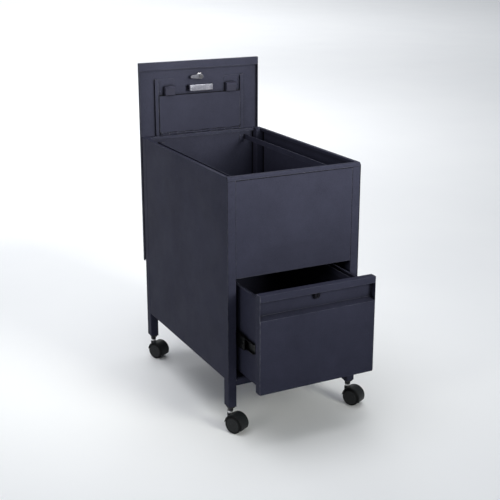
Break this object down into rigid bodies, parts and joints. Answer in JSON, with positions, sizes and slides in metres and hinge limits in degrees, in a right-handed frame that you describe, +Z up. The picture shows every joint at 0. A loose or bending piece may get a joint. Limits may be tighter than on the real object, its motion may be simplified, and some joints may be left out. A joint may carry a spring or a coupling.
{
  "type": "mobile tub file cart",
  "caption": "Locking tub file on casters: open hanging-folder well under a lid that tips and slides behind, with a lockable file drawer below.",
  "frame": {"origin": "on the floor, under the middle of the whole object's box at rest, with the drawer part open and the lid down behind the back", "axes": "+X to the right seen from the front, -Y the way the drawer opens, +Z up"},
  "size_m": [0.4712, 0.8042, 1.004],
  "materials": {
    "painted_steel": "fine-textured dark navy charcoal powder coat",
    "slide_steel": "black electro-coated slide steel",
    "zinc_steel": "zinc plate",
    "bright_plate": "bright plated",
    "lock_chrome": "nickel plate",
    "lock_black": "dark lock cylinder",
    "stop_rubber": "moulded rubber",
    "socket_plastic": "moulded nylon",
    "caster_plastic": "moulded, fine grain",
    "wheel_nylon": "moulded nylon",
    "stem_steel": "bright steel"
  },
  "bodies": {
    "cabinet": {"left_side_panel": "painted_steel", "right_side_panel": "painted_steel", "front_panel": "painted_steel", "back_panel": "painted_steel", "tub_floor": "painted_steel", "base_pan": "painted_steel", "front_bottom_rail": "painted_steel", "rear_bottom_rail": "painted_steel", "left_front_post": "painted_steel", "right_front_post": "painted_steel", "left_rear_post": "painted_steel", "right_rear_post": "painted_steel", "tub_hanging_rails": "painted_steel", "left_slide_channel": "slide_steel", "right_slide_channel": "slide_steel", "leg_sockets": "socket_plastic", "lid_hinge_leaf": "painted_steel", "lid_hinge_pin": "zinc_steel", "drawer_strike": "zinc_steel", "hinge_rivets": "painted_steel"},
    "carrier": {"lid_carrier": "painted_steel"},
    "lid": {"lid_pan": "painted_steel", "lid_guides": "painted_steel", "lid_stop_blocks": "stop_rubber", "lid_backing_plates": "painted_steel", "lid_catch_bracket": "bright_plate", "lid_lock_housing": "lock_chrome", "lid_rivets": "zinc_steel"},
    "lid_lock": {"lid_lock_plug": "lock_chrome", "lid_lock_cam": "zinc_steel"},
    "drawer": {"drawer_face": "painted_steel", "drawer_pull": "painted_steel", "drawer_box_front": "painted_steel", "drawer_left_side": "painted_steel", "drawer_right_side": "painted_steel", "drawer_bottom": "painted_steel", "drawer_back": "painted_steel", "drawer_slide_rails": "slide_steel", "drawer_hanging_rails": "painted_steel", "drawer_lock_housing": "lock_black"},
    "drawer_lock": {"drawer_lock_plug": "lock_black", "drawer_lock_cam": "zinc_steel"},
    "left_slide": {"left_slide_middle": "slide_steel"},
    "right_slide": {"right_slide_middle": "slide_steel"},
    "caster_front_left": {"caster_hood_front_left": "caster_plastic", "caster_stem_front_left": "stem_steel"},
    "wheel_front_left_a": {"caster_wheel_front_left_a": "wheel_nylon"},
    "wheel_front_left_b": {"caster_wheel_front_left_b": "wheel_nylon"},
    "caster_front_right": {"caster_hood_front_right": "caster_plastic", "caster_stem_front_right": "stem_steel"},
    "wheel_front_right_a": {"caster_wheel_front_right_a": "wheel_nylon"},
    "wheel_front_right_b": {"caster_wheel_front_right_b": "wheel_nylon"},
    "caster_rear_left": {"caster_hood_rear_left": "caster_plastic", "caster_stem_rear_left": "stem_steel"},
    "wheel_rear_left_a": {"caster_wheel_rear_left_a": "wheel_nylon"},
    "wheel_rear_left_b": {"caster_wheel_rear_left_b": "wheel_nylon"},
    "caster_rear_right": {"caster_hood_rear_right": "caster_plastic", "caster_stem_rear_right": "stem_steel"},
    "wheel_rear_right_a": {"caster_wheel_rear_right_a": "wheel_nylon"},
    "wheel_rear_right_b": {"caster_wheel_rear_right_b": "wheel_nylon"}
  },
  "joints": [
    {"name": "lid_carrier_hinge", "type": "hinge", "parent": "cabinet", "child": "carrier", "pos_m": [-0.011, 0.386, 0.7665], "axis": [1, 0, 0], "range_deg": [0, 90]},
    {"name": "lid_slide", "type": "slide", "parent": "carrier", "child": "lid", "axis": [0, 0, 1], "range_m": [0, 0.417]},
    {"name": "lid_lock_turn", "type": "hinge", "parent": "lid", "child": "lid_lock", "pos_m": [-0.011, 0.398, 0.951], "axis": [0, 1, 0], "range_deg": [0, 90]},
    {"name": "drawer_slide", "type": "slide", "parent": "cabinet", "child": "drawer", "axis": [0, -1, 0], "range_m": [-0.14, 0.34]},
    {"name": "left_slide_travel", "type": "slide", "parent": "cabinet", "child": "left_slide", "axis": [0, -1, 0], "range_m": [-0.07, 0.17]},
    {"name": "right_slide_travel", "type": "slide", "parent": "cabinet", "child": "right_slide", "axis": [0, -1, 0], "range_m": [-0.07, 0.17]},
    {"name": "drawer_lock_turn", "type": "hinge", "parent": "drawer", "child": "drawer_lock", "pos_m": [-0.011, -0.403, 0.4335], "axis": [0, 1, 0], "range_deg": [0, 90]},
    {"name": "caster_front_left_swivel", "type": "hinge", "parent": "cabinet", "child": "caster_front_left", "pos_m": [-0.2129, -0.247, 0.06], "axis": [0, 0, 1], "continuous": true},
    {"name": "wheel_front_left_a_spin", "type": "hinge", "parent": "caster_front_left", "child": "wheel_front_left_a", "pos_m": [-0.2024, -0.26519, 0.027], "axis": [0.866, 0.5, 0], "continuous": true},
    {"name": "wheel_front_left_b_spin", "type": "hinge", "parent": "caster_front_left", "child": "wheel_front_left_b", "pos_m": [-0.2024, -0.26519, 0.027], "axis": [0.866, 0.5, 0], "continuous": true},
    {"name": "caster_front_right_swivel", "type": "hinge", "parent": "cabinet", "child": "caster_front_right", "pos_m": [0.1909, -0.247, 0.06], "axis": [0, 0, 1], "continuous": true},
    {"name": "wheel_front_right_a_spin", "type": "hinge", "parent": "caster_front_right", "child": "wheel_front_right_a", "pos_m": [0.2014, -0.26519, 0.027], "axis": [0.866, 0.5, 0], "continuous": true},
    {"name": "wheel_front_right_b_spin", "type": "hinge", "parent": "caster_front_right", "child": "wheel_front_right_b", "pos_m": [0.2014, -0.26519, 0.027], "axis": [0.866, 0.5, 0], "continuous": true},
    {"name": "caster_rear_left_swivel", "type": "hinge", "parent": "cabinet", "child": "caster_rear_left", "pos_m": [-0.2129, 0.361, 0.06], "axis": [0, 0, 1], "continuous": true},
    {"name": "wheel_rear_left_a_spin", "type": "hinge", "parent": "caster_rear_left", "child": "wheel_rear_left_a", "pos_m": [-0.2024, 0.34281, 0.027], "axis": [0.866, 0.5, 0], "continuous": true},
    {"name": "wheel_rear_left_b_spin", "type": "hinge", "parent": "caster_rear_left", "child": "wheel_rear_left_b", "pos_m": [-0.2024, 0.34281, 0.027], "axis": [0.866, 0.5, 0], "continuous": true},
    {"name": "caster_rear_right_swivel", "type": "hinge", "parent": "cabinet", "child": "caster_rear_right", "pos_m": [0.1909, 0.361, 0.06], "axis": [0, 0, 1], "continuous": true},
    {"name": "wheel_rear_right_a_spin", "type": "hinge", "parent": "caster_rear_right", "child": "wheel_rear_right_a", "pos_m": [0.2014, 0.34281, 0.027], "axis": [0.866, 0.5, 0], "continuous": true},
    {"name": "wheel_rear_right_b_spin", "type": "hinge", "parent": "caster_rear_right", "child": "wheel_rear_right_b", "pos_m": [0.2014, 0.34281, 0.027], "axis": [0.866, 0.5, 0], "continuous": true}
  ],
  "couplings": [
    {"joint": "left_slide_travel", "follows": "drawer_slide", "ratio": 0.5},
    {"joint": "right_slide_travel", "follows": "drawer_slide", "ratio": 0.5}
  ]
}
